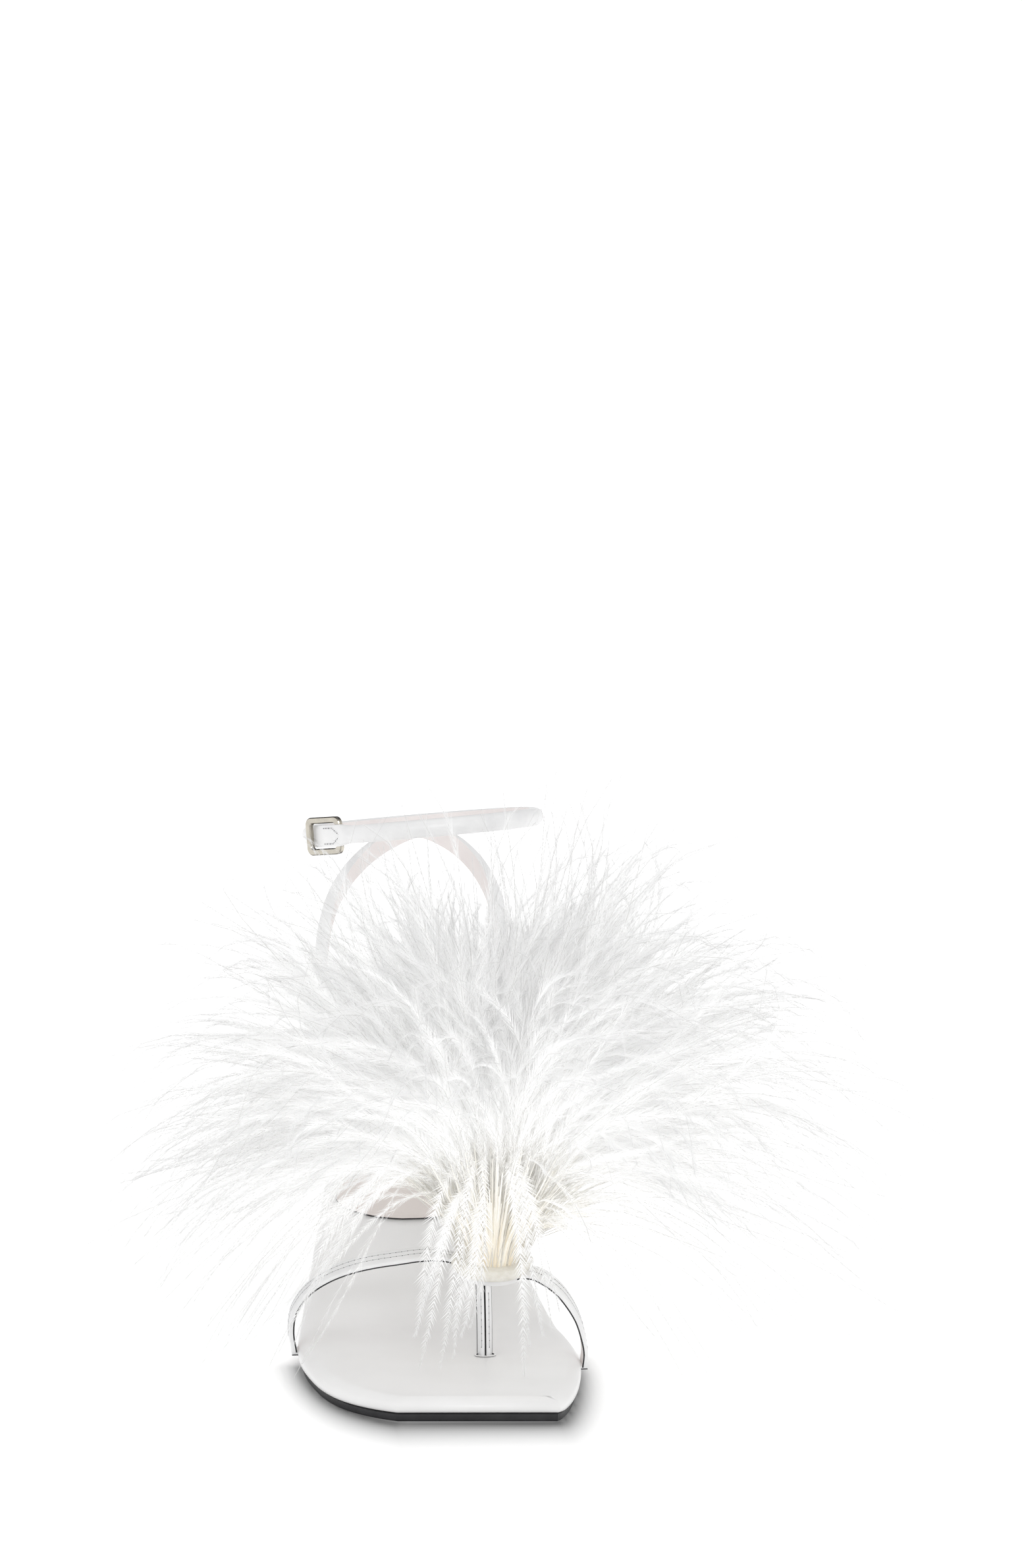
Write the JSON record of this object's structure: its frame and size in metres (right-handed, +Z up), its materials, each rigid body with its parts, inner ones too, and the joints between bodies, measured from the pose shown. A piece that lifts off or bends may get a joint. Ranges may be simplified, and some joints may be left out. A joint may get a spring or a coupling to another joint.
{
  "type": "feather sandal",
  "caption": "High-heeled thong sandal for the right foot: square toe, thin straps, padded heel loop and ankle strap with a small buckle, and a large ostrich feather puff.",
  "frame": {"origin": "On the ground, on the flat tread of the outsole under the middle of the ball", "axes": "+X towards the toe, +Y towards the medial side (the wearer's left), +Z up"},
  "size_m": [0.2349, 0.2295, 0.1611],
  "materials": {
    "white_leather": "satin",
    "sock_leather": "satin",
    "black_sole": "satin",
    "nickel": "gloss",
    "felt": "matte",
    "ostrich_feather": "matte"
  },
  "bodies": {
    "root": {"outsole": "black_sole", "footbed": "white_leather", "heel_sock": "sock_leather", "heel": "white_leather", "heel_top_piece": "black_sole", "vamp_straps": "white_leather", "ankle_strap": "white_leather", "buckle_frame": "nickel", "feather_base": "felt", "feather_bunch_top": "ostrich_feather", "feather_bunch_lateral": "ostrich_feather", "feather_bunch_medial": "ostrich_feather"}
  },
  "joints": []
}
